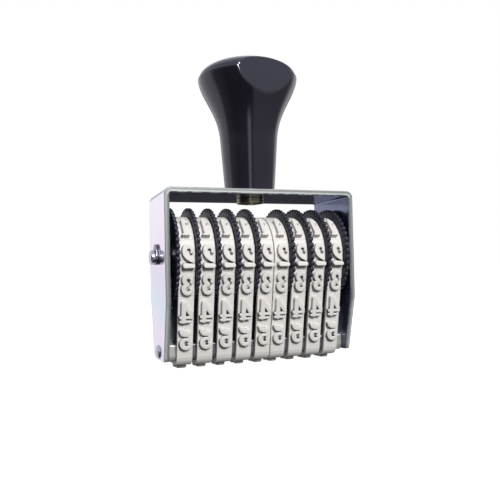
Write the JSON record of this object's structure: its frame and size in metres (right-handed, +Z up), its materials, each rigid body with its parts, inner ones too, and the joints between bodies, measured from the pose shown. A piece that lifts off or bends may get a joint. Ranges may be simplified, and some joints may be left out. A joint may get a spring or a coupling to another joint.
{
  "type": "band numbering stamp",
  "caption": "Hand numbering stamp: looped rubber figure bands, turned by knurled thumb wheels on one axle, pass under a steel type bed in a bent sheet bracket with a round handle.",
  "frame": {"origin": "middle of the printing face of the type, centred between the side plates and in line with the axle", "axes": "+X along the axle to the right, +Y to the back, +Z up from the printing face through the handle"},
  "size_m": [0.0596, 0.0284, 0.088],
  "materials": {
    "zinc_plate": "bright zinc-plated sheet, faintly iridescent",
    "black_gloss": "glossy black moulded plastic",
    "yellow_zinc": "yellow-passivated zinc-plated steel",
    "steel": "bright turned steel",
    "bed_steel": "grey drawn steel",
    "black_wheel": "black moulded plastic, satin",
    "grey_rubber": "warm light-grey moulded rubber"
  },
  "bodies": {
    "frame": {"bracket": "zinc_plate", "handle": "black_gloss", "handle_screw": "yellow_zinc", "lock_washer": "yellow_zinc", "axle": "steel", "e_clip_left": "steel", "e_clip_right": "steel", "thrust_washer_left": "steel", "thrust_washer_right": "steel", "type_bed": "bed_steel", "bed_rivet_left": "steel", "bed_rivet_right": "steel", "number_band_1": "grey_rubber", "number_band_2": "grey_rubber", "number_band_3": "grey_rubber", "number_band_4": "grey_rubber", "number_band_5": "grey_rubber", "number_band_6": "grey_rubber", "number_band_7": "grey_rubber", "number_band_8": "grey_rubber", "number_band_9": "grey_rubber"},
    "wheel_1": {"number_wheel_1": "black_wheel"},
    "wheel_2": {"number_wheel_2": "black_wheel"},
    "wheel_3": {"number_wheel_3": "black_wheel"},
    "wheel_4": {"number_wheel_4": "black_wheel"},
    "wheel_5": {"number_wheel_5": "black_wheel"},
    "wheel_6": {"number_wheel_6": "black_wheel"},
    "wheel_7": {"number_wheel_7": "black_wheel"},
    "wheel_8": {"number_wheel_8": "black_wheel"},
    "wheel_9": {"number_wheel_9": "black_wheel"}
  },
  "joints": [
    {"name": "wheel_1_turn", "type": "hinge", "parent": "frame", "child": "wheel_1", "pos_m": [0, 0, 0.0307], "axis": [1, 0, 0], "continuous": true},
    {"name": "wheel_2_turn", "type": "hinge", "parent": "frame", "child": "wheel_2", "pos_m": [0, 0, 0.0307], "axis": [1, 0, 0], "continuous": true},
    {"name": "wheel_3_turn", "type": "hinge", "parent": "frame", "child": "wheel_3", "pos_m": [0, 0, 0.0307], "axis": [1, 0, 0], "continuous": true},
    {"name": "wheel_4_turn", "type": "hinge", "parent": "frame", "child": "wheel_4", "pos_m": [0, 0, 0.0307], "axis": [1, 0, 0], "continuous": true},
    {"name": "wheel_5_turn", "type": "hinge", "parent": "frame", "child": "wheel_5", "pos_m": [0, 0, 0.0307], "axis": [1, 0, 0], "continuous": true},
    {"name": "wheel_6_turn", "type": "hinge", "parent": "frame", "child": "wheel_6", "pos_m": [0, 0, 0.0307], "axis": [1, 0, 0], "continuous": true},
    {"name": "wheel_7_turn", "type": "hinge", "parent": "frame", "child": "wheel_7", "pos_m": [0, 0, 0.0307], "axis": [1, 0, 0], "continuous": true},
    {"name": "wheel_8_turn", "type": "hinge", "parent": "frame", "child": "wheel_8", "pos_m": [0, 0, 0.0307], "axis": [1, 0, 0], "continuous": true},
    {"name": "wheel_9_turn", "type": "hinge", "parent": "frame", "child": "wheel_9", "pos_m": [0, 0, 0.0307], "axis": [1, 0, 0], "continuous": true}
  ]
}
